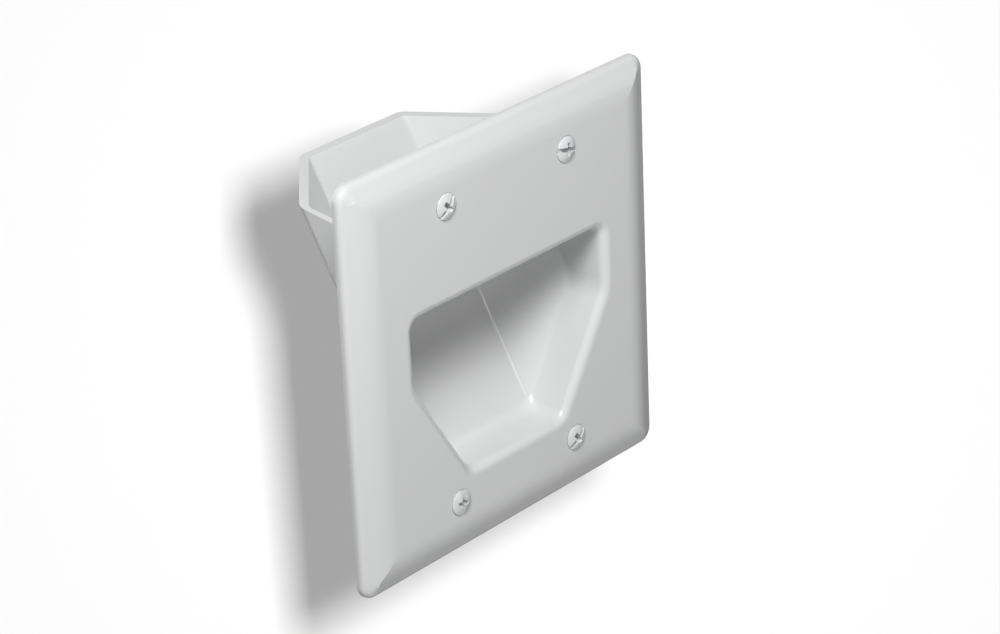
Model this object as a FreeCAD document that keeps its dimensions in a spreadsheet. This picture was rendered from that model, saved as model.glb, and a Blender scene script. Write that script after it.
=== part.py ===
import FreeCAD, Part
import math
import os
import Sketcher

# Recessed low voltage wall plate, two gangs wide, for bringing cables out of a wall.
# One glossy moulding carries everything: a bevelled plate, a six sided mouth, and a chute
# behind the mouth that runs straight back, bends upwards and ends in an open, sloping rim
# inside the wall. Four oval head screws hold the plate to its bracket.
# Frame: origin on the wall plane at the centre of the screw pattern, X to the right as seen
# from the room, Y into the wall, Z up. Lengths are in millimetres and angles in degrees.

SIZES = [
    # the plate
    ("plate_width", 115.9),
    ("plate_height", 114.3),
    ("plate_depth", 5.0),
    ("corner_radius", 4.4),
    ("edge_height", 2.1),
    ("edge_radius", 2.0),
    ("bevel_width", 7.4),
    ("bevel_blend_radius", 16.5),
    ("skin", 2.4),
    ("dish_margin", 2.0),
    ("dish_run", 6.6),
    ("dish_corner_radius", 2.0),
    # the mouth and the chute
    ("wall", 1.9),
    ("chute_half_width", 37.1),
    ("mouth_top", 15.0),
    ("side_bottom", 3.6),
    ("floor_half_width", 18.0),
    ("floor_drop", 34.3),
    ("mouth_top_radius", 3.0),
    ("side_radius", 10.0),
    ("floor_radius", 4.5),
    ("crease_radius", 1.6),
    ("mouth_edge_radius", 2.5),
    ("lip_depth", 5.0),
    ("throat_depth", 3.4),
    ("bend_radius", 5.0),
    ("chute_angle", 61.0),
    ("rim_height", 33.8),
    ("rim_slope", 7.8),
    ("rim_waste", 20.0),
    ("cut_reach", 150.0),
    # the screws and their holes
    ("screw_spacing_across", 46.04),
    ("screw_spacing_up", 83.34),
    ("boss_radius", 4.5),
    ("hole_clearance", 0.3),
    ("seat_clearance", 0.1),
    ("head_diameter", 7.0),
    ("head_angle", 82.0),
    ("head_land", 0.35),
    ("head_dome", 0.9),
    ("neck_diameter", 2.9),
    ("shank_diameter", 3.5),
    ("screw_length", 25.4),
    ("slot_width", 1.1),
    ("slot_depth", 1.2),
    ("cross_width", 1.1),
    ("cross_reach", 2.1),
    ("cross_depth", 1.9),
    # the stiffening ribs on the back
    ("rib_width", 1.4),
    ("rib_setback", 0.6),
    ("rib_root", 0.4),
]

doc = FreeCAD.newDocument("recessed_wall_plate")
sheet = doc.addObject("Spreadsheet::Sheet", "Sizes")
for row, (alias, value) in enumerate(SIZES, start=1):
    sheet.set("A%d" % row, alias)
    sheet.set("B%d" % row, str(value))
    sheet.setAlias("B%d" % row, alias)
doc.recompute()


def size(alias):
    return float(sheet.get(alias))


def origin_plane(body, role):
    return next(f for f in body.Origin.OriginFeatures if f.Role == role)


def sketch_on(body, role, name, offset=None):
    """A sketch on one of the body's own planes, moved along its normal by an expression."""
    sketch = body.newObject("Sketcher::SketchObject", name)
    sketch.AttachmentSupport = [(origin_plane(body, role), "")]
    sketch.MapMode = "FlatFace"
    if offset:
        sketch.setExpression("AttachmentOffset.Base.z", offset)
    return sketch


def bind(sketch, constraint, expression):
    index = sketch.addConstraint(constraint)
    sketch.setExpression("Constraints[%d]" % index, expression)


def frame_lines(sketch, corners):
    """A closed construction polygon, each corner held by two expressions.

    It is first drawn as a regular polygon, and the expressions then move its corners.
    """
    count = len(corners)
    reach = size("chute_half_width")
    turns = [2 * math.pi * i / count for i in range(count)]
    rough = [FreeCAD.Vector(math.cos(turn), math.sin(turn), 0) * reach for turn in turns]
    for i in range(count):
        sketch.addGeometry(Part.LineSegment(rough[i], rough[(i + 1) % count]), True)
    for i in range(count):
        sketch.addConstraint(Sketcher.Constraint("Coincident", i, 2, (i + 1) % count, 1))
    for i, (across, up) in enumerate(corners):
        point = sketch.getPoint(i, 1)
        bind(sketch, Sketcher.Constraint("DistanceX", -1, 1, i, 1, point.x), across)
        bind(sketch, Sketcher.Constraint("DistanceY", -1, 1, i, 1, point.y), up)
    doc.recompute()
    return [sketch.getPoint(i, 1) for i in range(count)]


def outline(sketch, corners, grow=None):
    """A closed outline with rounded corners, drawn at a distance outside its frame lines.

    Each corner is (across, up, radius names), where the radius names are sizes that add up
    and an empty tuple leaves the corner sharp. grow names the size that the outline stands
    outside the corners, and the radii grow with it.
    """
    count = len(corners)
    points = frame_lines(sketch, [(across, up) for across, up, _ in corners])
    offset = size(grow) if grow else 0.0
    extra = (grow,) if grow else ()
    middle = sum(points, FreeCAD.Vector()) * (1.0 / count)
    sides = []
    for i in range(count):
        along = (points[(i + 1) % count] - points[i]).normalize()
        out = FreeCAD.Vector(along.y, -along.x, 0)
        if out.dot(points[i] - middle) < 0:
            out = out * -1
        sides.append((points[i] + out * offset, along))
    ends = []
    for i in range(count):
        place, along = sides[i]
        before, along_before = sides[i - 1]
        span = before - place
        run = (span.x * along_before.y - span.y * along_before.x)
        run = run / (along.x * along_before.y - along.y * along_before.x)
        sharp = place + along * run
        radius = sum(size(name) for name in corners[i][2] + (extra if corners[i][2] else ()))
        turn = math.acos(max(-1.0, min(1.0, along.dot(along_before))))
        back = radius * math.tan(turn / 2)
        ends.append((sharp - along_before * back, sharp + along * back, sharp, radius))
    lines = []
    for i in range(count):
        line = Part.LineSegment(ends[i][1], ends[(i + 1) % count][0])
        lines.append(sketch.addGeometry(line, False))
        sketch.addConstraint(Sketcher.Constraint("Parallel", i, lines[i]))
        if grow:
            away = Sketcher.Constraint("Distance", i, 1, lines[i], offset)
            bind(sketch, away, "Sizes.%s" % grow)
        else:
            sketch.addConstraint(Sketcher.Constraint("PointOnObject", i, 1, lines[i]))
    for i in range(count):
        first, last, sharp, radius = ends[i]
        if not corners[i][2]:
            sketch.addConstraint(Sketcher.Constraint("Coincident", lines[i - 1], 2, lines[i], 1))
            continue
        to_centre = (first + last) * 0.5 - sharp
        reach = math.hypot(radius, (first - sharp).Length)
        centre = sharp + to_centre.normalize() * reach
        through = centre + (sharp - centre).normalize() * radius
        arc = sketch.addGeometry(Part.Arc(first, through, last), False)
        at_first = 1 if (sketch.getPoint(arc, 1) - first).Length < 1e-6 else 2
        sketch.addConstraint(Sketcher.Constraint("Tangent", lines[i - 1], 2, arc, at_first))
        sketch.addConstraint(Sketcher.Constraint("Tangent", lines[i], 1, arc, 3 - at_first))
        total = " + ".join("Sizes.%s" % name for name in corners[i][2] + extra)
        bind(sketch, Sketcher.Constraint("Radius", arc, radius), total)
    doc.recompute()


def circles(sketch, places, radius):
    """Circles at (across, up) expressions, all with one radius expression."""
    normal = FreeCAD.Vector(0, 0, 1)
    rough_radius = size("boss_radius")
    for i, (across, up) in enumerate(places):
        rough = FreeCAD.Vector(1, 1, 0) * 2 * rough_radius * (i + 1)
        sketch.addGeometry(Part.Circle(rough, normal, rough_radius), False)
        bind(sketch, Sketcher.Constraint("DistanceX", -1, 1, i, 3, rough.x), across)
        bind(sketch, Sketcher.Constraint("DistanceY", -1, 1, i, 3, rough.y), up)
        bind(sketch, Sketcher.Constraint("Radius", i, rough_radius), radius)
    doc.recompute()


def feature(body, kind, name, sketch, length=None, through=False):
    """A pad or pocket of a sketch: one way by an expression, or both ways through all."""
    made = body.newObject("PartDesign::" + kind, name)
    made.Profile = sketch
    if through:
        made.SideType = "Symmetric"
        made.setExpression("Length", "Sizes.cut_reach * 2")
    else:
        made.setExpression("Length", length)
    doc.recompute()
    return made


def mirrored(body, name, source, role):
    made = body.newObject("PartDesign::Mirrored", name)
    made.Originals = [source]
    made.MirrorPlane = (origin_plane(body, role), [""])
    body.Tip = made
    doc.recompute()
    return made


# The moulding

plate = doc.addObject("PartDesign::Body", "recessed_wall_plate")
plate.Label = "recessed_wall_plate"


def rectangle(width, height, radius):
    """Corners of a centred rectangle, from its full width and height expressions."""
    right, top = "(%s) / 2" % width, "(%s) / 2" % height
    return [
        ("-" + right, "-" + top, radius),
        (right, "-" + top, radius),
        (right, top, radius),
        ("-" + right, top, radius),
    ]


blank = sketch_on(plate, "XZ_Plane", "blank_outline")
outline(blank, rectangle("Sizes.plate_width", "Sizes.plate_height", ("corner_radius",)))
feature(plate, "Pad", "blank", blank, "Sizes.plate_depth")


def bevel_profile(sketch, half, swap):
    """The waste outside one bevelled edge: depth is measured out from the wall plane.

    The bevel leaves the side of the plate at the edge height, and a large radius blends it
    into the flat face. The waste starts a little way up the side and ends inside the blend.
    """
    start = "-Sizes.edge_height / 4"
    front = "-Sizes.plate_depth * 2"
    bevel_end = half + " - Sizes.bevel_width"
    blend_end = bevel_end + " - Sizes.bevel_width"
    outside = half + " + Sizes.plate_depth"
    profile = [
        (start, half, ()),
        ("-Sizes.edge_height", half, ("edge_radius",)),
        ("-Sizes.plate_depth", bevel_end, ("bevel_blend_radius",)),
        ("-Sizes.plate_depth", blend_end, ()),
        (front, blend_end, ()),
        (front, outside, ()),
        (start, outside, ()),
    ]
    if swap:
        profile = [(up, across, radius) for across, up, radius in profile]
    outline(sketch, profile)


top_bevel = sketch_on(plate, "YZ_Plane", "top_bevel_profile")
bevel_profile(top_bevel, "Sizes.plate_height / 2", False)
top_cut = feature(plate, "Pocket", "top_bevel", top_bevel, through=True)
mirrored(plate, "bottom_bevel", top_cut, "XY_Plane")

side_bevel = sketch_on(plate, "XY_Plane", "side_bevel_profile")
bevel_profile(side_bevel, "Sizes.plate_width / 2", True)
side_cut = feature(plate, "Pocket", "right_bevel", side_bevel, through=True)
mirrored(plate, "left_bevel", side_cut, "YZ_Plane")


def corner_turn(name, right, up):
    """The bevel's edge and slope turned a quarter round one corner, up to where they mitre."""
    slope = "(Sizes.plate_depth - Sizes.edge_height) / Sizes.bevel_width"
    apex = "-(Sizes.edge_height + Sizes.corner_radius * %s)" % slope
    rim = "%d * Sizes.corner_radius" % right
    outside = "%d * 2 * Sizes.corner_radius" % right
    axis_up = "%d * (Sizes.plate_height / 2 - Sizes.corner_radius)" % up
    axis_across = "%d * (Sizes.plate_width / 2 - Sizes.corner_radius)" % right
    profile = sketch_on(plate, "XY_Plane", name + "_profile", axis_up)
    profile.setExpression("AttachmentOffset.Base.x", axis_across)
    outline(profile, [
        ("0", apex, ()),
        (rim, "-Sizes.edge_height", ("edge_radius",)),
        (rim, "-Sizes.edge_height / 4", ()),
        (outside, "-Sizes.edge_height / 4", ()),
        (outside, "-Sizes.plate_depth * 2", ()),
        ("0", "-Sizes.plate_depth * 2", ()),
    ])
    turned = plate.newObject("PartDesign::Groove", name)
    turned.Profile = profile
    turned.ReferenceAxis = (profile, ["V_Axis"])
    turned.Angle = 90
    turned.Reversed = right * up > 0
    doc.recompute()


for right, side in ((-1, "left"), (1, "right")):
    for up, level in ((-1, "bottom"), (1, "top")):
        corner_turn("%s_%s_corner" % (level, side), right, up)

# the back is dished out, so that the skin keeps one thickness behind the face and the bevels
wide = "Sizes.plate_width - 2 * Sizes.dish_margin"
tall = "Sizes.plate_height - 2 * Sizes.dish_margin"
dish_back = sketch_on(plate, "XZ_Plane", "dish_back_outline")
outline(dish_back, rectangle(wide, tall, ("dish_corner_radius",)))
dish_front = sketch_on(plate, "XZ_Plane", "dish_front_outline", "Sizes.plate_depth - Sizes.skin")
narrow = "%s - 2 * Sizes.dish_run"
outline(dish_front, rectangle(narrow % wide, narrow % tall, ("dish_corner_radius",)))
dish = plate.newObject("PartDesign::SubtractiveLoft", "dish")
dish.Profile = dish_back
dish.Sections = [dish_front]
dish.Ruled = True
doc.recompute()


def chute_outline(top, top_radius=(), low_radius="floor_radius"):
    """Corners of the six sided mouth and chute, from the top level down."""
    side, low = "Sizes.chute_half_width", "Sizes.floor_half_width"
    return [
        ("-" + side, top, top_radius),
        ("-" + side, "-Sizes.side_bottom", ("side_radius",)),
        ("-" + low, "-Sizes.floor_drop", (low_radius,)),
        (low, "-Sizes.floor_drop", (low_radius,)),
        (side, "-Sizes.side_bottom", ("side_radius",)),
        (side, top, top_radius),
    ]


def chute_path(name, start, level, radius):
    """Straight back along the floor, round the bend, then up the slope past the rim."""
    path = sketch_on(plate, "YZ_Plane", name)
    angle = math.radians(size("chute_angle"))
    bend = size("bend_radius")
    throat = FreeCAD.Vector(size("throat_depth"), -size("floor_drop"), 0)
    first = FreeCAD.Vector(-size("plate_depth"), throat.y, 0)
    centre = throat + FreeCAD.Vector(0, bend, 0)
    middle = centre + FreeCAD.Vector(math.sin(angle / 2), -math.cos(angle / 2), 0) * bend
    turned = centre + FreeCAD.Vector(math.sin(angle), -math.cos(angle), 0) * bend
    last = turned + FreeCAD.Vector(math.cos(angle), math.sin(angle), 0) * size("cut_reach")
    floor = path.addGeometry(Part.LineSegment(first, throat), False)
    arc = path.addGeometry(Part.Arc(throat, middle, turned), False)
    slope = path.addGeometry(Part.LineSegment(turned, last), False)
    at_throat = 1 if (path.getPoint(arc, 1) - throat).Length < 1e-6 else 2
    path.addConstraint(Sketcher.Constraint("Horizontal", floor))
    path.addConstraint(Sketcher.Constraint("Tangent", floor, 2, arc, at_throat))
    path.addConstraint(Sketcher.Constraint("Tangent", slope, 1, arc, 3 - at_throat))
    bind(path, Sketcher.Constraint("DistanceX", -1, 1, floor, 1, first.x), start)
    bind(path, Sketcher.Constraint("DistanceY", -1, 1, floor, 1, first.y), level)
    bind(path, Sketcher.Constraint("DistanceX", -1, 1, floor, 2, throat.x), "Sizes.throat_depth")
    bind(path, Sketcher.Constraint("Radius", arc, bend), radius)
    bind(path, Sketcher.Constraint("Angle", slope, angle), "Sizes.chute_angle * 1 deg")
    rise = "Sizes.rim_height + Sizes.rim_waste"
    bind(path, Sketcher.Constraint("DistanceY", -1, 1, slope, 2, last.y), rise)
    doc.recompute()
    return path


def chute(kind, name, profile, path):
    """The outline carried along the path without turning, as the side walls stay upright."""
    made = plate.newObject("PartDesign::" + kind, name)
    made.Profile = profile
    made.Spine = path
    made.Mode = "Fixed"
    doc.recompute()


# chute walls: a collar inside the dish, then the bent chute, cut off by the sloping rim
collar = sketch_on(plate, "XZ_Plane", "collar_outline")
outline(collar, chute_outline("Sizes.rim_height - Sizes.wall", (), "crease_radius"), "wall")
feature(plate, "Pad", "collar", collar, "Sizes.plate_depth - Sizes.skin / 2")

shell = sketch_on(plate, "XZ_Plane", "chute_outer_outline")
outline(shell, chute_outline("Sizes.rim_height + Sizes.wall", (), "crease_radius"), "wall")
shell_path = chute_path("chute_outer_path", "0", "-Sizes.floor_drop - Sizes.wall",
                        "Sizes.bend_radius + Sizes.wall")
chute("AdditivePipe", "chute_shell", shell, shell_path)

rim = sketch_on(plate, "YZ_Plane", "rim_cut_profile")
rim_far = "Sizes.rim_height + Sizes.cut_reach * tan(Sizes.rim_slope * 1 deg)"
outline(rim, [
    ("0", "Sizes.rim_height", ()),
    ("Sizes.cut_reach", rim_far, ()),
    ("Sizes.cut_reach", "Sizes.cut_reach * 2", ()),
    ("0", "Sizes.cut_reach * 2", ()),
])
feature(plate, "Pocket", "rim_cut", rim, through=True)

hollow = sketch_on(plate, "XZ_Plane", "chute_inner_outline", "Sizes.plate_depth - Sizes.skin")
outline(hollow, chute_outline("Sizes.rim_height + Sizes.wall"))
hollow_path = chute_path("chute_inner_path", "Sizes.skin - Sizes.plate_depth",
                         "-Sizes.floor_drop", "Sizes.bend_radius")
chute("SubtractivePipe", "chute_hollow", hollow, hollow_path)

# past the bend the two creases beside the floor are sharper, along the whole slope
slope_back = "Sizes.throat_depth + Sizes.bend_radius * sin(Sizes.chute_angle * 1 deg)"
slope_lift = "Sizes.bend_radius * (1 - cos(Sizes.chute_angle * 1 deg))"
creases = sketch_on(plate, "XZ_Plane", "slope_outline", "-(%s)" % slope_back)
creases.setExpression("AttachmentOffset.Base.y", slope_lift)
outline(creases, chute_outline("Sizes.rim_height + Sizes.wall", (), "crease_radius"))
slope_path = sketch_on(plate, "YZ_Plane", "slope_path")
slope_angle = math.radians(size("chute_angle"))
slope_start = FreeCAD.Vector(size("throat_depth"), -size("floor_drop"), 0)
slope_way = FreeCAD.Vector(math.cos(slope_angle), math.sin(slope_angle), 0)
slope_end = slope_start + slope_way * size("cut_reach")
slope_path.addGeometry(Part.LineSegment(slope_start, slope_end), False)
bind(slope_path, Sketcher.Constraint("DistanceX", -1, 1, 0, 1, slope_start.x), slope_back)
bind(slope_path, Sketcher.Constraint("DistanceY", -1, 1, 0, 1, slope_start.y),
     "%s - Sizes.floor_drop" % slope_lift)
bind(slope_path, Sketcher.Constraint("Angle", 0, slope_angle), "Sizes.chute_angle * 1 deg")
bind(slope_path, Sketcher.Constraint("DistanceY", -1, 1, 0, 2, slope_end.y),
     "Sizes.rim_height + Sizes.rim_waste")
doc.recompute()
chute("SubtractivePipe", "slope_hollow", creases, slope_path)

# a lip backs the top edge of the mouth and fills its two upper corners
lip = sketch_on(plate, "XZ_Plane", "lip_outline", "Sizes.plate_depth - Sizes.lip_depth")
lip_side = "Sizes.chute_half_width + Sizes.wall / 2"
lip_low = "Sizes.mouth_top - Sizes.mouth_top_radius"
outline(lip, [
    ("-(%s)" % lip_side, lip_low, ()),
    (lip_side, lip_low, ()),
    (lip_side, "Sizes.mouth_top + Sizes.wall", ()),
    ("-(%s)" % lip_side, "Sizes.mouth_top + Sizes.wall", ()),
])
feature(plate, "Pad", "lip", lip, "Sizes.lip_depth - Sizes.skin / 2")

mouth = sketch_on(plate, "XZ_Plane", "mouth_outline", "Sizes.plate_depth")
outline(mouth, chute_outline("Sizes.mouth_top", ("mouth_top_radius",)))
mouth_cut = feature(plate, "Pocket", "mouth", mouth, "Sizes.lip_depth")

# every edge of the mouth on the face gets one soft radius
face_level = -size("plate_depth")
mouth_edges = []
solid = mouth_cut.Shape
for index, edge in enumerate(solid.Edges, start=1):
    box = edge.BoundBox
    flat = abs(box.YMin - face_level) < 1e-4 and abs(box.YMax - face_level) < 1e-4
    reach = max(abs(box.XMin), abs(box.XMax))
    if flat and reach < size("chute_half_width") + size("wall"):
        mouth_edges.append("Edge%d" % index)
rounding = plate.newObject("PartDesign::Fillet", "mouth_rounding")
rounding.Base = (mouth_cut, mouth_edges)
rounding.setExpression("Radius", "Sizes.mouth_edge_radius")
plate.Tip = rounding
doc.recompute()

# bosses behind the four screws, and the countersunk holes through them
SCREWS = [
    ("top_left_screw", -1, 1, 43.0),
    ("top_right_screw", 1, 1, -11.0),
    ("bottom_left_screw", -1, -1, 85.0),
    ("bottom_right_screw", 1, -1, 38.0),
]
places = [
    ("%d * Sizes.screw_spacing_across / 2" % right, "%d * Sizes.screw_spacing_up / 2" % up)
    for _, right, up, _ in SCREWS
]
bosses = sketch_on(plate, "XZ_Plane", "boss_outlines")
circles(bosses, places, "Sizes.boss_radius")
feature(plate, "Pad", "bosses", bosses, "Sizes.plate_depth - Sizes.skin / 2")

# one rib runs from each boss up the slope of the dish, and one each side braces the chute
rib_length = "Sizes.plate_depth - Sizes.skin - Sizes.rib_setback + Sizes.rib_root"
slope_middle = "(Sizes.dish_margin + Sizes.dish_run / 2)"
ribs = []
for _, right, up, _ in SCREWS:
    middle = "%d * Sizes.screw_spacing_across / 2" % right
    near = "%d * (Sizes.screw_spacing_up / 2 + Sizes.boss_radius / 2)" % up
    far = "%d * (Sizes.plate_height / 2 - %s)" % (up, slope_middle)
    ribs.append((middle + " - Sizes.rib_width / 2", middle + " + Sizes.rib_width / 2", near, far))
for right in (-1, 1):
    near = "%d * (Sizes.chute_half_width + Sizes.wall / 2)" % right
    far = "%d * (Sizes.plate_width / 2 - %s)" % (right, slope_middle)
    ribs.append((near, far, "-Sizes.rib_width / 2", "Sizes.rib_width / 2"))
for number, (left, right, low, high) in enumerate(ribs, start=1):
    rib = sketch_on(plate, "XZ_Plane", "rib_%d_outline" % number, "Sizes.rib_setback")
    outline(rib, [(left, low, ()), (right, low, ()), (right, high, ()), (left, high, ())])
    feature(plate, "Pad", "rib_%d" % number, rib, rib_length)

holes = sketch_on(plate, "XZ_Plane", "hole_centres", "Sizes.plate_depth")
circles(holes, places, "Sizes.shank_diameter / 2 + Sizes.hole_clearance")
drilled = plate.newObject("PartDesign::Hole", "countersunk_holes")
drilled.Profile = holes
drilled.DepthType = "Dimension"
drilled.DrillPoint = "Flat"
drilled.setExpression("Depth", "Sizes.plate_depth + Sizes.hole_clearance")
drilled.setExpression("Diameter", "Sizes.shank_diameter + 2 * Sizes.hole_clearance")
drilled.HoleCutType = "Countersink"
drilled.HoleCutCustomValues = True
drilled.setExpression("HoleCutDiameter", "Sizes.head_diameter + 2 * Sizes.seat_clearance")
drilled.setExpression("HoleCutCountersinkAngle", "Sizes.head_angle * 1 deg")
doc.recompute()


# The screws: countersunk under the head, domed above the face, with a slot and a cross

HEAD_RADIUS = "Sizes.head_diameter / 2"
NECK_RADIUS = "Sizes.neck_diameter / 2"
SHANK_RADIUS = "Sizes.shank_diameter / 2"
HEAD_TOP = "Sizes.head_land + Sizes.head_dome"
CONE_DEPTH = "(%s - %s) / tan(Sizes.head_angle * 1 deg / 2)" % (HEAD_RADIUS, NECK_RADIUS)


def screw_profile(sketch):
    """Half of the screw beside its axis, the face of the plate being at level zero.

    The head stands out of its countersink by a narrow land, and the dome starts on top of it.
    A plain neck passes through the plate, and the threaded shank starts at the wall plane.
    The profile is first drawn at rough places, and the constraints then move its corners.
    """
    corners = [
        (None, HEAD_TOP),
        (HEAD_RADIUS, "Sizes.head_land"),
        (HEAD_RADIUS, None),
        (NECK_RADIUS, "-" + CONE_DEPTH),
        (NECK_RADIUS, "-Sizes.plate_depth"),
        (SHANK_RADIUS, "-Sizes.plate_depth"),
        (SHANK_RADIUS, "-Sizes.screw_length"),
        (None, "-Sizes.screw_length"),
    ]
    across_axis, up_axis = -1, -2
    rough = [(0, 2), (4, 1), (4, 0), (1, -2), (1, -5), (2, -5), (2, -21), (0, -21)]
    rough = [FreeCAD.Vector(x, y, 0) for x, y in rough]
    count = len(corners)
    dome = Part.Arc(rough[1], FreeCAD.Vector(2, 1.8, 0), rough[0])
    sketch.addGeometry(dome, False)
    for i in range(1, count):
        sketch.addGeometry(Part.LineSegment(rough[i], rough[(i + 1) % count]), False)
    rim = 1 if (sketch.getPoint(0, 1) - rough[1]).Length < 1e-6 else 2
    starts = [(0, 3 - rim)] + [(i, 1) for i in range(1, count)]
    sketch.addConstraint(Sketcher.Constraint("Coincident", 0, rim, 1, 1))
    sketch.addConstraint(Sketcher.Constraint("Coincident", count - 1, 2, 0, 3 - rim))
    for i in range(1, count - 1):
        sketch.addConstraint(Sketcher.Constraint("Coincident", i, 2, i + 1, 1))
    sketch.addConstraint(Sketcher.Constraint("PointOnObject", 0, 3, up_axis))
    for (line, end), (across, up) in zip(starts, corners):
        point = sketch.getPoint(line, end)
        if across:
            bind(sketch, Sketcher.Constraint("DistanceX", -1, 1, line, end, point.x), across)
        else:
            sketch.addConstraint(Sketcher.Constraint("PointOnObject", line, end, up_axis))
        if up:
            bind(sketch, Sketcher.Constraint("DistanceY", -1, 1, line, end, point.y), up)
        else:
            sketch.addConstraint(Sketcher.Constraint("PointOnObject", line, end, across_axis))
    doc.recompute()


def screw(name, right, up, slot_angle):
    """One oval head screw, seated in its hole and turned until its slot lies at an angle."""
    body = doc.addObject("PartDesign::Body", name)
    body.Label = name
    profile = sketch_on(body, "XZ_Plane", name + "_profile")
    screw_profile(profile)
    turned = body.newObject("PartDesign::Revolution", name + "_turned")
    turned.Profile = profile
    turned.ReferenceAxis = (profile, ["V_Axis"])
    turned.Angle = 360
    doc.recompute()
    recesses = [
        ("slot", "Sizes.head_diameter", "Sizes.slot_width", "Sizes.slot_depth"),
        ("cross_along", "2 * Sizes.cross_reach", "Sizes.cross_width", "Sizes.cross_depth"),
        ("cross_over", "Sizes.cross_width", "2 * Sizes.cross_reach", "Sizes.cross_depth"),
    ]
    for recess, length, width, depth in recesses:
        shape = sketch_on(body, "XY_Plane", "%s_%s_outline" % (name, recess), HEAD_TOP)
        outline(shape, rectangle(length, width, ()))
        feature(body, "Pocket", "%s_%s" % (name, recess), shape, depth)
    out_of_wall = FreeCAD.Rotation(FreeCAD.Vector(1, 0, 0), 90)
    about_axis = FreeCAD.Rotation(FreeCAD.Vector(0, 0, 1), slot_angle)
    body.Placement = FreeCAD.Placement(FreeCAD.Vector(), out_of_wall * about_axis)
    body.setExpression("Placement.Base.x", "%d * Sizes.screw_spacing_across / 2" % right)
    body.setExpression("Placement.Base.y", "-Sizes.plate_depth")
    body.setExpression("Placement.Base.z", "%d * Sizes.screw_spacing_up / 2" % up)
    doc.recompute()
    return body


bodies = [plate] + [screw(*values) for values in SCREWS]

for thing in doc.Objects:
    if "Invalid" in thing.State or "Error" in thing.State:
        raise RuntimeError("%s did not build: %s" % (thing.Name, thing.State))
for body in bodies:
    if body.Shape.isNull() or not body.Shape.isValid() or len(body.Shape.Solids) != 1:
        raise RuntimeError("%s is not one sound solid" % body.Label)

os.makedirs("parts", exist_ok=True)
for body in bodies:
    body.Shape.exportStep("parts/%s.step" % body.Label)
    print("%s: %.1f cubic mm" % (body.Label, body.Shape.Volume))
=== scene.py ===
import math

import bpy
from mathutils import Matrix, Vector


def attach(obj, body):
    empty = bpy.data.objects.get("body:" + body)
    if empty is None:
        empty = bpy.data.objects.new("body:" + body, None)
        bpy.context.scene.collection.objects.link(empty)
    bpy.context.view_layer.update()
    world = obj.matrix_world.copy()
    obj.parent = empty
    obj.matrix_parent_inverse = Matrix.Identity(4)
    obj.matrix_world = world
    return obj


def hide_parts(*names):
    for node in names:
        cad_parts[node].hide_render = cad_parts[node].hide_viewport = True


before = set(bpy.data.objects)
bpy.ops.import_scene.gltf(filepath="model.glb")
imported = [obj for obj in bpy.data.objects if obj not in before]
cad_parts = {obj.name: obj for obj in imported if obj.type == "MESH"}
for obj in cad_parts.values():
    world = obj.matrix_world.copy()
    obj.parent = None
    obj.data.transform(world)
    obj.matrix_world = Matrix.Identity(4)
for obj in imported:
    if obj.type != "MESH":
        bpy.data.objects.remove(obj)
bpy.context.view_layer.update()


# The moulding
# One piece of glossy white plastic from an injection mould: the bevelled plate, the mouth and
# the chute behind it. Its surface is polished, with the faint unevenness that plastic keeps as
# it shrinks in the mould.

MOULDING_WHITE = (0.659, 0.668, 0.664, 1.0)
MOULDING_SHADE = (0.648, 0.657, 0.653, 1.0)
MOULDING_TINT_SIZE = 0.030
MOULDING_RIPPLE_SIZE = 0.0045
MOULDING_RIPPLE_HEIGHT = 0.000012
MOULDING_GRAIN_SIZE = 0.0006
MOULDING_GRAIN_HEIGHT = 0.0000012
MOULDING_ROUGHNESS = (0.13, 0.21)
MOULDING_IOR = 1.5
NOISE_LOW = 0.3
NOISE_HIGH = 0.7


def noise_at(tree, feature_size, detail=2.0):
    """A noise that follows the piece's own coordinates, with features of one real size."""
    place = tree.nodes.new("ShaderNodeTexCoord")
    noise = tree.nodes.new("ShaderNodeTexNoise")
    noise.inputs["Scale"].default_value = 1 / feature_size
    noise.inputs["Detail"].default_value = detail
    tree.links.new(place.outputs["Object"], noise.inputs["Vector"])
    return noise.outputs["Fac"]


def blended(tree, factor, low, high):
    """A colour that goes from low to high with the factor."""
    mix = tree.nodes.new("ShaderNodeMix")
    mix.data_type = "RGBA"
    mix.inputs["A"].default_value = low
    mix.inputs["B"].default_value = high
    tree.links.new(factor, mix.inputs["Factor"])
    return mix.outputs["Result"]


def ranged(tree, noise, low, high):
    """A number that goes from low to high as the noise goes from its lows to its highs."""
    span = tree.nodes.new("ShaderNodeMapRange")
    span.inputs["From Min"].default_value = NOISE_LOW
    span.inputs["From Max"].default_value = NOISE_HIGH
    span.inputs["To Min"].default_value = low
    span.inputs["To Max"].default_value = high
    tree.links.new(noise, span.inputs["Value"])
    return span.outputs["Result"]


def bumped(tree, height, depth, under=None):
    """A normal from a height of one real depth, laid over an earlier normal if there is one."""
    bump = tree.nodes.new("ShaderNodeBump")
    bump.inputs["Distance"].default_value = depth
    tree.links.new(height, bump.inputs["Height"])
    if under is not None:
        tree.links.new(under, bump.inputs["Normal"])
    return bump.outputs["Normal"]


def new_surface(name):
    """A material, its node tree and its one Principled shader."""
    material = bpy.data.materials.new(name)
    material.use_nodes = True
    tree = material.node_tree
    return material, tree, tree.nodes["Principled BSDF"]


moulded, tree, surface = new_surface("glossy_white_moulding")
tint = noise_at(tree, MOULDING_TINT_SIZE)
tree.links.new(blended(tree, tint, MOULDING_SHADE, MOULDING_WHITE), surface.inputs["Base Color"])
ripple = noise_at(tree, MOULDING_RIPPLE_SIZE)
tree.links.new(ranged(tree, ripple, *MOULDING_ROUGHNESS), surface.inputs["Roughness"])
rippled = bumped(tree, ripple, MOULDING_RIPPLE_HEIGHT)
grain = noise_at(tree, MOULDING_GRAIN_SIZE, detail=1.0)
grained = bumped(tree, grain, MOULDING_GRAIN_HEIGHT, rippled)
tree.links.new(grained, surface.inputs["Normal"])
surface.inputs["IOR"].default_value = MOULDING_IOR

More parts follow.
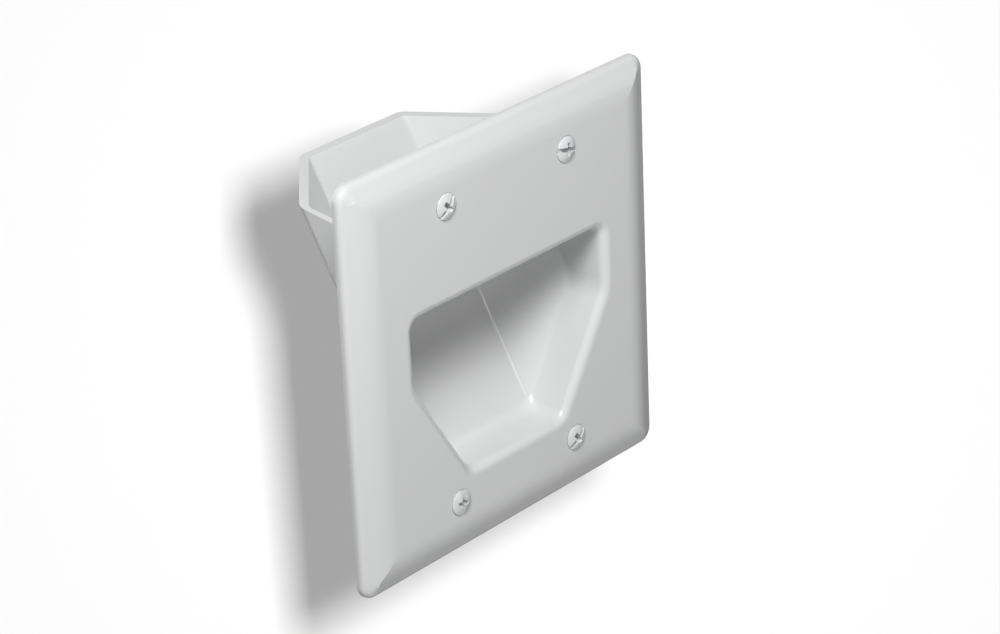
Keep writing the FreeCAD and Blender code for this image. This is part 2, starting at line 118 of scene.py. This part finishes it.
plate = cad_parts["recessed_wall_plate"]
plate.data.materials.clear()
plate.data.materials.append(moulded)


# The screws
# Four oval head machine screws of zinc plated steel, with the heads painted white. The head is
# forged with a slot and a cross and the thread is rolled on. They hold the plate to the bracket
# in the wall, and each has stopped with its slot at an angle of its own.

HEAD_RADIUS = 0.0035
HEAD_ANGLE = math.radians(82.0)
HEAD_DOME = 0.0009
HEAD_LAND = 0.00035
HEAD_SEGMENTS = 64
DOME_ROWS = 9
RIM_ROUNDING = 0.0002
RIM_STEPS = 4
NECK_RADIUS = 0.00145
NECK_END = 0.005
THREAD_RADIUS = 0.00175
THREAD_ROOT = 0.00134
THREAD_PITCH = 0.000794
THREAD_LENGTH = 0.0204
THREAD_STEEPNESS = 2.5
THREAD_ROOT_FLAT = 0.1
THREAD_SEGMENTS = 24
THREAD_ROWS_PER_TURN = 8
THREAD_END_ROWS = 3
TIP_RADIUS = 0.00125
SLOT_WIDTH = 0.0012
SLOT_DEPTH = 0.0012
SLOT_LENGTH = 3 * HEAD_RADIUS
CROSS_WIDTH = 0.0014
CROSS_REACH = 0.0023
CROSS_DEPTH = 0.0023
CROSS_TAPER = 0.6
RECESS_ROUNDING = 0.00008
RECESS_ROUNDING_STEPS = 2
ROUNDED_ABOVE = 0.00001
ROUNDED_ANGLE = 0.5
CREASE_ANGLE = 0.6
MERGE_DISTANCE = 0.000001
SIDE_TOLERANCE = 0.1
SCREWS_ACROSS = 0.04604
SCREWS_UP = 0.08334
SCREWS_FACE = -0.005
SLOT_ANGLES = {
    "bottom_left_screw": 85.0,
    "bottom_right_screw": 38.0,
    "top_left_screw": 43.0,
    "top_right_screw": -11.0,
}
PAINT = (0.66, 0.68, 0.685, 1.0)
PAINT_SHADE = (0.63, 0.65, 0.655, 1.0)
PAINT_DEPTH = 0.0016
PAINT_PATCH_SIZE = 0.0016
PAINT_PEEL_SIZE = 0.00035
PAINT_PEEL_HEIGHT = 0.000006
PAINT_ROUGHNESS = (0.30, 0.42)
ZINC = (0.62, 0.63, 0.64, 1.0)
ZINC_SHADE = (0.50, 0.51, 0.53, 1.0)
ZINC_CLOUD_SIZE = 0.0012
ZINC_CRYSTAL_SIZE = 0.00015
ZINC_CRYSTAL_HEIGHT = 0.000003
ZINC_ROUGHNESS = (0.28, 0.42)


def head_profile():
    """The points from the neck's end, up round the rim and over to the top of the dome."""
    cone_end = -(HEAD_RADIUS - NECK_RADIUS) / math.tan(HEAD_ANGLE / 2)
    points = [(0.0, 0.0, -NECK_END), (NECK_RADIUS, 0.0, -NECK_END)]
    points += [(NECK_RADIUS, 0.0, cone_end), (HEAD_RADIUS, 0.0, 0.0)]
    dome_radius = (HEAD_RADIUS ** 2 + HEAD_DOME ** 2) / (2 * HEAD_DOME)
    dome_centre = HEAD_LAND + HEAD_DOME - dome_radius
    rim_out = HEAD_RADIUS - RIM_ROUNDING
    rim_up = math.sqrt((dome_radius - RIM_ROUNDING) ** 2 - rim_out ** 2)
    rim_end = math.atan2(rim_up, rim_out)
    for step in range(RIM_STEPS + 1):
        lean = rim_end * step / RIM_STEPS
        out = rim_out + RIM_ROUNDING * math.cos(lean)
        points.append((out, 0.0, dome_centre + rim_up + RIM_ROUNDING * math.sin(lean)))
    for step in range(1, DOME_ROWS):
        lean = rim_end + (math.pi / 2 - rim_end) * step / (DOME_ROWS - 1)
        rise = dome_centre + dome_radius * math.sin(lean)
        points.append((dome_radius * math.cos(lean), 0.0, rise))
    return points


def wired(tree, kind, values=None, **settings):
    """A node with its settings, and inputs that are values or the outputs of other nodes."""
    made = tree.nodes.new(kind)
    for name, value in settings.items():
        setattr(made, name, value)
    for key, value in (values or {}).items():
        if isinstance(value, bpy.types.NodeSocket):
            tree.links.new(value, made.inputs[key])
        else:
            made.inputs[key].default_value = value
    return made


def worked(tree, operation, *values):
    """The result of one sum."""
    return wired(tree, "ShaderNodeMath", dict(enumerate(values)), operation=operation).outputs[0]


def own_place(tree):
    """The X, Y and Z of each point."""
    position = wired(tree, "GeometryNodeInputPosition").outputs[0]
    return wired(tree, "ShaderNodeSeparateXYZ", {0: position}).outputs


def moved(tree, geometry, x, y, z):
    """The geometry with each point at a new place."""
    place = wired(tree, "ShaderNodeCombineXYZ", {"X": x, "Y": y, "Z": z}).outputs[0]
    return wired(tree, "GeometryNodeSetPosition", {
        "Geometry": geometry, "Position": place,
    }).outputs[0]


def turned(tree, segments, rows, shape):
    """A closed body of revolution, where shape gives radius and height from turn and row."""
    grid = wired(tree, "GeometryNodeMeshGrid", {
        "Size X": 1.0, "Size Y": 1.0,
        "Vertices X": worked(tree, "ADD", segments, 1), "Vertices Y": rows,
    })
    at = own_place(tree)
    turn = worked(tree, "ADD", at["X"], 0.5)
    last_row = worked(tree, "SUBTRACT", rows, 1)
    row = worked(tree, "MULTIPLY", worked(tree, "ADD", at["Y"], 0.5), last_row)
    row = worked(tree, "ROUND", row)
    radius, height = shape(turn, row, last_row)
    angle = worked(tree, "MULTIPLY", turn, 2 * math.pi)
    x = worked(tree, "MULTIPLY", radius, worked(tree, "COSINE", angle))
    y = worked(tree, "MULTIPLY", radius, worked(tree, "SINE", angle))
    wrapped = moved(tree, grid.outputs["Mesh"], x, y, height)
    return wired(tree, "GeometryNodeMergeByDistance", {
        "Geometry": wrapped, "Distance": MERGE_DISTANCE,
    }).outputs[0]


def sized_inputs(tree, sizes):
    """Named inputs of the tree, one for each size, and the sockets that give them inside it."""
    for name, value in sizes.items():
        kind = "NodeSocketInt" if isinstance(value, int) else "NodeSocketFloat"
        tree.interface.new_socket(name, in_out="INPUT", socket_type=kind)
    return tree.nodes.new("NodeGroupInput").outputs


profile = head_profile()
SCREW_SIZES = {
    "Head top": HEAD_LAND + HEAD_DOME,
    "Head segments": HEAD_SEGMENTS,
    "Profile points": len(profile),
    "Slot length": SLOT_LENGTH,
    "Slot width": SLOT_WIDTH,
    "Slot depth": SLOT_DEPTH,
    "Cross width": CROSS_WIDTH,
    "Cross reach": CROSS_REACH,
    "Cross depth": CROSS_DEPTH,
    "Cross taper": CROSS_TAPER,
    "Thread radius": THREAD_RADIUS,
    "Thread root": THREAD_ROOT,
    "Thread pitch": THREAD_PITCH,
    "Thread length": THREAD_LENGTH,
    "Thread segments": THREAD_SEGMENTS,
    "Rows per turn": THREAD_ROWS_PER_TURN,
    "Neck end": NECK_END,
    "Tip radius": TIP_RADIUS,
    "Spacing across": SCREWS_ACROSS,
    "Spacing up": SCREWS_UP,
    "Face level": SCREWS_FACE,
    "Paint depth": PAINT_DEPTH,
    "Bottom left angle": math.radians(SLOT_ANGLES["bottom_left_screw"]),
    "Bottom right angle": math.radians(SLOT_ANGLES["bottom_right_screw"]),
    "Top left angle": math.radians(SLOT_ANGLES["top_left_screw"]),
    "Top right angle": math.radians(SLOT_ANGLES["top_right_screw"]),
}

tree = bpy.data.node_groups.new("oval_head_screws", "GeometryNodeTree")
tree.interface.new_socket("Geometry", in_out="OUTPUT", socket_type="NodeSocketGeometry")
tree.interface.new_socket("Geometry", in_out="INPUT", socket_type="NodeSocketGeometry")
size = sized_inputs(tree, SCREW_SIZES)


def head_shape(turn, row, last_row):
    """Radius and height of the head and neck, read from the points of the drawn profile."""
    point = wired(tree, "GeometryNodeSampleIndex", {
        "Geometry": size["Geometry"],
        "Value": wired(tree, "GeometryNodeInputPosition").outputs[0],
        "Index": row,
    }, data_type="FLOAT_VECTOR")
    at = wired(tree, "ShaderNodeSeparateXYZ", {0: point.outputs["Value"]}).outputs
    return at["X"], at["Z"]


def thread_shape(turn, row, last_row):
    """Radius and height of the thread: each row climbs one pitch in a turn, up from the tip."""
    turns_up = worked(tree, "DIVIDE", worked(tree, "SUBTRACT", row, 1), size["Rows per turn"])
    climb = worked(tree, "ADD", worked(tree, "SUBTRACT", turns_up, 1), turn)
    up = worked(tree, "MULTIPLY", climb, size["Thread pitch"])
    up = worked(tree, "MAXIMUM", up, 0)
    up = worked(tree, "MINIMUM", up, size["Thread length"])
    flank = worked(tree, "MULTIPLY", worked(tree, "PINGPONG", turns_up, 0.5), THREAD_STEEPNESS)
    flank = worked(tree, "SUBTRACT", flank, THREAD_ROOT_FLAT)
    left = worked(tree, "SUBTRACT", size["Thread length"], up)
    runout = worked(tree, "DIVIDE", left, size["Thread pitch"])
    flank = worked(tree, "MINIMUM", flank, runout)
    flank = worked(tree, "MAXIMUM", worked(tree, "MINIMUM", flank, 1), 0)
    depth = worked(tree, "SUBTRACT", size["Thread radius"], size["Thread root"])
    radius = worked(tree, "ADD", size["Thread root"], worked(tree, "MULTIPLY", flank, depth))
    radius = worked(tree, "MINIMUM", radius, worked(tree, "ADD", size["Tip radius"], up))
    not_first = worked(tree, "GREATER_THAN", row, 0.5)
    not_last = worked(tree, "LESS_THAN", row, worked(tree, "SUBTRACT", last_row, 0.5))
    radius = worked(tree, "MULTIPLY", radius, worked(tree, "MULTIPLY", not_first, not_last))
    bottom = worked(tree, "ADD", size["Neck end"], size["Thread length"])
    return radius, worked(tree, "SUBTRACT", up, bottom)


def cutter(length, width, depth, taper):
    """A bar that cuts down from above the head, narrower at its bottom by the taper."""
    height = worked(tree, "ADD", depth, size["Head top"])
    block = wired(tree, "ShaderNodeCombineXYZ", {"X": length, "Y": width, "Z": height})
    bar = wired(tree, "GeometryNodeMeshCube", {"Size": block.outputs[0]}).outputs["Mesh"]
    at = own_place(tree)
    low = worked(tree, "LESS_THAN", at["Z"], 0)
    narrowing = worked(tree, "MULTIPLY", low, worked(tree, "SUBTRACT", 1, taper))
    across = worked(tree, "SUBTRACT", 1, narrowing)
    half_taper = worked(tree, "DIVIDE", worked(tree, "ADD", across, 1), 2)
    lift = worked(tree, "SUBTRACT", worked(tree, "DIVIDE", height, 2), depth)
    x = worked(tree, "MULTIPLY", at["X"], across)
    y = worked(tree, "MULTIPLY", at["Y"], half_taper)
    z = worked(tree, "ADD", worked(tree, "ADD", at["Z"], lift), size["Head top"])
    return moved(tree, bar, x, y, z)


head = turned(tree, size["Head segments"], size["Profile points"], head_shape)
slot = cutter(size["Slot length"], size["Slot width"], size["Slot depth"], 1.0)
wing_length = worked(tree, "MULTIPLY", size["Cross reach"], 2)
wing = cutter(wing_length, size["Cross width"], size["Cross depth"], size["Cross taper"])
quarter_turn = (0, 0, math.pi / 2)
other_wing = wired(tree, "GeometryNodeTransform", {"Geometry": wing, "Rotation": quarter_turn})
cut = wired(tree, "GeometryNodeMeshBoolean", operation="DIFFERENCE", solver="EXACT")
tree.links.new(head, cut.inputs["Mesh 1"])
for tool in (slot, wing, other_wing.outputs[0]):
    tree.links.new(tool, cut.inputs["Mesh 2"])
corner = wired(tree, "GeometryNodeInputMeshEdgeAngle").outputs["Unsigned Angle"]
in_sight = worked(tree, "GREATER_THAN", own_place(tree)["Z"], ROUNDED_ABOVE)
is_corner = worked(tree, "GREATER_THAN", corner, ROUNDED_ANGLE)
rounded = wired(tree, "GeometryNodeStoreNamedAttribute", {
    "Geometry": cut.outputs["Mesh"],
    "Name": "bevel_weight_edge",
    "Value": worked(tree, "MULTIPLY", in_sight, is_corner),
}, data_type="FLOAT", domain="EDGE")

rows = worked(tree, "DIVIDE", size["Thread length"], size["Thread pitch"])
rows = worked(tree, "CEIL", worked(tree, "MULTIPLY", rows, size["Rows per turn"]))
rows = worked(tree, "ADD", worked(tree, "ADD", rows, size["Rows per turn"]), THREAD_END_ROWS)
thread = turned(tree, size["Thread segments"], rows, thread_shape)
whole = wired(tree, "GeometryNodeJoinGeometry")
tree.links.new(rounded.outputs[0], whole.inputs[0])
tree.links.new(thread, whole.inputs[0])
smooth = wired(tree, "GeometryNodeSetShadeSmooth", {
    "Geometry": whole.outputs[0],
    "Selection": worked(tree, "GREATER_THAN", corner, CREASE_ANGLE),
    "Shade Smooth": False,
}, domain="EDGE")

corners = wired(tree, "GeometryNodeMeshGrid", {
    "Size X": size["Spacing across"], "Size Y": size["Spacing up"], "Vertices X": 2, "Vertices Y": 2,
})
spot = own_place(tree)
holes = moved(tree, corners.outputs["Mesh"], spot["X"], size["Face level"], spot["Y"])
hole = own_place(tree)
is_right = worked(tree, "GREATER_THAN", hole["X"], 0)
is_top = worked(tree, "GREATER_THAN", hole["Z"], 0)
angle = 0.0
for name, right, top in (
    ("Bottom left angle", 0, 0), ("Bottom right angle", 1, 0),
    ("Top left angle", 0, 1), ("Top right angle", 1, 1),
):
    this_side = worked(tree, "COMPARE", is_right, right, SIDE_TOLERANCE)
    this_row = worked(tree, "COMPARE", is_top, top, SIDE_TOLERANCE)
    here = worked(tree, "MULTIPLY", this_side, this_row)
    angle = worked(tree, "MULTIPLY_ADD", size[name], here, angle)
spin = wired(tree, "ShaderNodeCombineXYZ", {"Z": angle})
outward = wired(tree, "FunctionNodeRotateRotation", {
    "Rotation": wired(tree, "FunctionNodeEulerToRotation", {0: spin.outputs[0]}).outputs[0],
    "Rotate By": (math.pi / 2, 0, 0),
}, rotation_space="GLOBAL")
placed = wired(tree, "GeometryNodeInstanceOnPoints", {
    "Points": holes, "Instance": smooth.outputs[0], "Rotation": outward.outputs[0],
})
real = wired(tree, "GeometryNodeRealizeInstances", {"Geometry": placed.outputs[0]})


def coated(name, shade, colour, patch_size, roughness, grain_size, grain_height, metallic):
    """A coat whose colour varies in patches, and whose gloss and height follow a fine grain."""
    material, tree, surface = new_surface(name)
    patch = noise_at(tree, patch_size)
    tree.links.new(blended(tree, patch, shade, colour), surface.inputs["Base Color"])
    grain = noise_at(tree, grain_size)
    tree.links.new(ranged(tree, grain, *roughness), surface.inputs["Roughness"])
    tree.links.new(bumped(tree, grain, grain_height), surface.inputs["Normal"])
    surface.inputs["Metallic"].default_value = metallic
    return material


painted = coated(
    "painted_screw_heads", PAINT_SHADE, PAINT, PAINT_PATCH_SIZE,
    PAINT_ROUGHNESS, PAINT_PEEL_SIZE, PAINT_PEEL_HEIGHT, metallic=0.0,
)
plated = coated(
    "zinc_plated_thread", ZINC_SHADE, ZINC, ZINC_CLOUD_SIZE,
    ZINC_ROUGHNESS, ZINC_CRYSTAL_SIZE, ZINC_CRYSTAL_HEIGHT, metallic=1.0,
)

heads_painted = wired(tree, "GeometryNodeSetMaterial", {
    "Geometry": real.outputs[0], "Material": painted,
})
paint_end = worked(tree, "ADD", size["Face level"], size["Paint depth"])
shanks_plated = wired(tree, "GeometryNodeSetMaterial", {
    "Geometry": heads_painted.outputs[0],
    "Selection": worked(tree, "GREATER_THAN", own_place(tree)["Y"], paint_end),
    "Material": plated,
})
wired(tree, "NodeGroupOutput", {"Geometry": shanks_plated.outputs[0]})

drawn = bpy.data.meshes.new("screw_profile")
drawn.from_pydata(profile, [(i, i + 1) for i in range(len(profile) - 1)], [])
screws = bpy.data.objects.new("screws", drawn)
bpy.context.scene.collection.objects.link(screws)
made_by = screws.modifiers.new("oval_head_screws", "NODES")
made_by.node_group = tree
for socket in tree.interface.items_tree:
    if socket.in_out == "INPUT" and socket.name in SCREW_SIZES:
        made_by[socket.identifier] = SCREW_SIZES[socket.name]
rounding = screws.modifiers.new("rounded_corners", "BEVEL")
rounding.limit_method = "WEIGHT"
rounding.width = RECESS_ROUNDING
rounding.segments = RECESS_ROUNDING_STEPS
finished = screws.evaluated_get(bpy.context.evaluated_depsgraph_get())
solid = bpy.data.meshes.new_from_object(finished)
screws.modifiers.clear()
screws.data = solid
solid.materials.pop(index=0)
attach(screws, "root")
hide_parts(*SLOT_ANGLES)


# The camera
# It stands where the photograph was taken: to the left of the plate and above it, tilted a
# little, with a long lens.

AIM = Vector((0.0005, 0.0, 0.0010))
CAMERA_AZIMUTH = math.radians(-47.552)
CAMERA_ELEVATION = math.radians(25.085)
CAMERA_ROLL = math.radians(-2.570)
CAMERA_DISTANCE = 0.87722
FOCAL_LENGTH = 121.858
SENSOR_WIDTH = 36.0
CLIP_START = 0.01


def direction_to(azimuth, elevation):
    """The way from the object to a place round it, azimuth 0 being straight in front."""
    level = math.cos(elevation)
    return Vector((math.sin(azimuth) * level, -math.cos(azimuth) * level, math.sin(elevation)))


to_camera = direction_to(CAMERA_AZIMUTH, CAMERA_ELEVATION)
facing = to_camera.to_track_quat("Z", "Y").to_matrix().to_4x4()
tilted = facing @ Matrix.Rotation(CAMERA_ROLL, 4, "Z")
camera_data = bpy.data.cameras.new("camera")
camera_data.lens = FOCAL_LENGTH
camera_data.sensor_width = SENSOR_WIDTH
camera_data.clip_start = CLIP_START
camera = bpy.data.objects.new("camera", camera_data)
camera.matrix_world = Matrix.Translation(AIM + to_camera * CAMERA_DISTANCE) @ tilted
bpy.context.scene.collection.objects.link(camera)
bpy.context.scene.camera = camera


# The backdrop and the floor
# A white board stands square to the camera a metre behind the plate and lets views from behind
# through. A small lamp of its own, beside the camera, throws the plate's soft shadow on it, down
# to the left. A pale floor lies under both.

BOARD_DEPTH = 1.0
BOARD_SIZE = 0.72
BOARD_PAPER = 0.62
BOARD_WEAVE_SIZE = 0.02
BOARD_ROUGHNESS = (0.9, 1.0)
BOARD_WHITE = 1.015
SHADOW_LEVEL = 0.38
ROOM_LIGHT_ON_BOARD = 0.095
SHADOW_LAMP_RIGHT = 0.0296
SHADOW_LAMP_UP = 0.0179
SHADOW_LAMP_WIDTH = 0.0181
SHADOW_LAMP_HEIGHT = 0.0277
FLOOR_LEVEL = -0.6
FLOOR_SIZE = 20.0
FLOOR_PALE = (0.84, 0.84, 0.84, 1.0)
FLOOR_SHADE = (0.80, 0.80, 0.80, 1.0)
FLOOR_SPECKLE_SIZE = 0.05
FLOOR_ROUGHNESS = 0.8
FLOOR_GLOW = 0.55
WHITE_LIGHT = (1.0, 1.0, 1.0, 1.0)


def panel(name, size, matrix, material):
    """A flat square of the stage."""
    half = size / 2
    corners = [(-half, -half, 0), (half, -half, 0), (half, half, 0), (-half, half, 0)]
    mesh = bpy.data.meshes.new(name)
    mesh.from_pydata([matrix @ Vector(corner) for corner in corners], [], [(0, 1, 2, 3)])
    mesh.materials.append(material)
    made = bpy.data.objects.new(name, mesh)
    made.visible_diffuse = False
    made.visible_glossy = False
    made.visible_shadow = False
    bpy.context.scene.collection.objects.link(made)
    return made


board_white, tree, surface = new_surface("white_board")
weave = noise_at(tree, BOARD_WEAVE_SIZE)
tree.links.new(ranged(tree, weave, *BOARD_ROUGHNESS), surface.inputs["Roughness"])
surface.inputs["Base Color"].default_value = (BOARD_PAPER, BOARD_PAPER, BOARD_PAPER, 1.0)
surface.inputs["Specular IOR Level"].default_value = 0.0
surface.inputs["Emission Color"].default_value = WHITE_LIGHT
surface.inputs["Emission Strength"].default_value = SHADOW_LEVEL - ROOM_LIGHT_ON_BOARD
see_through = tree.nodes.new("ShaderNodeBsdfTransparent")
side = tree.nodes.new("ShaderNodeNewGeometry")
either = tree.nodes.new("ShaderNodeMixShader")
tree.links.new(side.outputs["Backfacing"], either.inputs["Fac"])
tree.links.new(surface.outputs["BSDF"], either.inputs[1])
tree.links.new(see_through.outputs["BSDF"], either.inputs[2])
tree.links.new(either.outputs["Shader"], tree.nodes["Material Output"].inputs["Surface"])
board_centre = AIM - to_camera * BOARD_DEPTH
board = panel("backdrop", BOARD_SIZE, Matrix.Translation(board_centre) @ tilted, board_white)

floor_pale, tree, surface = new_surface("pale_floor")
speckle = noise_at(tree, FLOOR_SPECKLE_SIZE)
tree.links.new(blended(tree, speckle, FLOOR_SHADE, FLOOR_PALE), surface.inputs["Base Color"])
surface.inputs["Roughness"].default_value = FLOOR_ROUGHNESS
surface.inputs["Emission Color"].default_value = WHITE_LIGHT
surface.inputs["Emission Strength"].default_value = FLOOR_GLOW
floor = panel("floor", FLOOR_SIZE, Matrix.Translation((0, 0, FLOOR_LEVEL)), floor_pale)


def receivers(name, state, *panels):
    """The things that a lamp lights: only these panels, or everything but them."""
    made = bpy.data.collections.new(name)
    for each, linked in enumerate(panels):
        made.objects.link(linked)
        made.collection_objects[each].light_linking.link_state = state
    return made


for_board = receivers("lit_by_the_shadow_lamp", "INCLUDE", board)
for_all_but_board = receivers("lit_by_the_studio_lamps", "EXCLUDE", board)
for_object = receivers("lit_by_the_back_lamp", "EXCLUDE", board, floor)


def lamp(name, place, toward, width, watts, lit):
    """A soft square lamp at a place, turned towards another, with the things that it lights."""
    data = bpy.data.lights.new(name, "AREA")
    data.size = width
    data.energy = watts
    made = bpy.data.objects.new(name, data)
    made.location = place
    made.rotation_euler = (place - toward).to_track_quat("Z", "Y").to_euler()
    made.light_linking.receiver_collection = lit
    bpy.context.scene.collection.objects.link(made)
    return made


beside_camera = camera.matrix_world @ Vector((SHADOW_LAMP_RIGHT, SHADOW_LAMP_UP, 0.0))
# The watts bring the board up from the level of the shadow to white.
throw = CAMERA_DISTANCE + BOARD_DEPTH
board_watts = (BOARD_WHITE - SHADOW_LEVEL) / BOARD_PAPER * math.pi ** 2 * throw ** 2
shadow_lamp = lamp(
    "shadow_lamp", beside_camera, board_centre, SHADOW_LAMP_WIDTH, board_watts, for_board,
)
shadow_lamp.data.shape = "RECTANGLE"
shadow_lamp.data.size_y = SHADOW_LAMP_HEIGHT


# The studio light
# A small softbox above the camera and a larger one further round to the front light the plate,
# and a small lamp in front draws the glint along the crease. A fill from behind and below lights
# the back. The rest comes up from below, in front and to the left, as from a pale floor.

STUDIO_LAMPS = {
    "softbox_near": dict(azimuth=-52.0, elevation=51.0, distance=0.6, width=0.2, watts=3.15),
    "softbox_above": dict(azimuth=-20.0, elevation=54.0, distance=1.0, width=0.3, watts=2.55),
    "glint_lamp": dict(azimuth=3.0, elevation=24.5, distance=1.0, width=0.06, watts=0.6),
}
BACK_FILL = dict(azimuth=180.0, elevation=-25.0, distance=1.2, width=0.3, watts=9.0)
BOUNCE_FRONT = 2.05
BOUNCE_LEFT = 1.3


def aimed_lamp(name, lit, azimuth, elevation, distance, width, watts):
    """A lamp turned towards the object from some way round it, with its angles in degrees."""
    way = direction_to(math.radians(azimuth), math.radians(elevation))
    return lamp(name, AIM + way * distance, AIM, width, watts, lit)


for name, settings in STUDIO_LAMPS.items():
    made = aimed_lamp(name, for_all_but_board, **settings)
    made.visible_glossy = name != "softbox_above"
aimed_lamp("back_fill", for_object, **BACK_FILL).visible_glossy = False

room = bpy.data.worlds.new("pale_room")
bpy.context.scene.world = room
room.use_nodes = True
tree = room.node_tree
looking = wired(tree, "ShaderNodeTexCoord").outputs["Generated"]
way = wired(tree, "ShaderNodeSeparateXYZ", {0: looking}).outputs
down = worked(tree, "MAXIMUM", worked(tree, "MULTIPLY", way["Z"], -1), 0)
front = worked(tree, "MAXIMUM", worked(tree, "MULTIPLY", way["Y"], -BOUNCE_FRONT), 0)
left = worked(tree, "MAXIMUM", worked(tree, "MULTIPLY", way["X"], -BOUNCE_LEFT), 0)
bounce = tree.nodes["Background"]
bounce.inputs["Color"].default_value = WHITE_LIGHT
strength = worked(tree, "MULTIPLY", down, worked(tree, "ADD", front, left))
tree.links.new(strength, bounce.inputs["Strength"])
# The camera sees the room as plain white, and so does the gloss above the horizon.
white = wired(tree, "ShaderNodeBackground", {"Color": WHITE_LIGHT})
ray = wired(tree, "ShaderNodeLightPath").outputs
mirrored = worked(tree, "MAXIMUM", ray["Is Glossy Ray"], ray["Is Transmission Ray"])
mirrored = worked(tree, "MULTIPLY", mirrored, worked(tree, "GREATER_THAN", way["Z"], 0))
shown = worked(tree, "MAXIMUM", ray["Is Camera Ray"], mirrored)
mixed = wired(tree, "ShaderNodeMixShader", {
    "Fac": shown, 1: bounce.outputs["Background"], 2: white.outputs["Background"],
})
tree.links.new(mixed.outputs["Shader"], tree.nodes["World Output"].inputs["Surface"])

bpy.context.scene.view_settings.view_transform = "Standard"
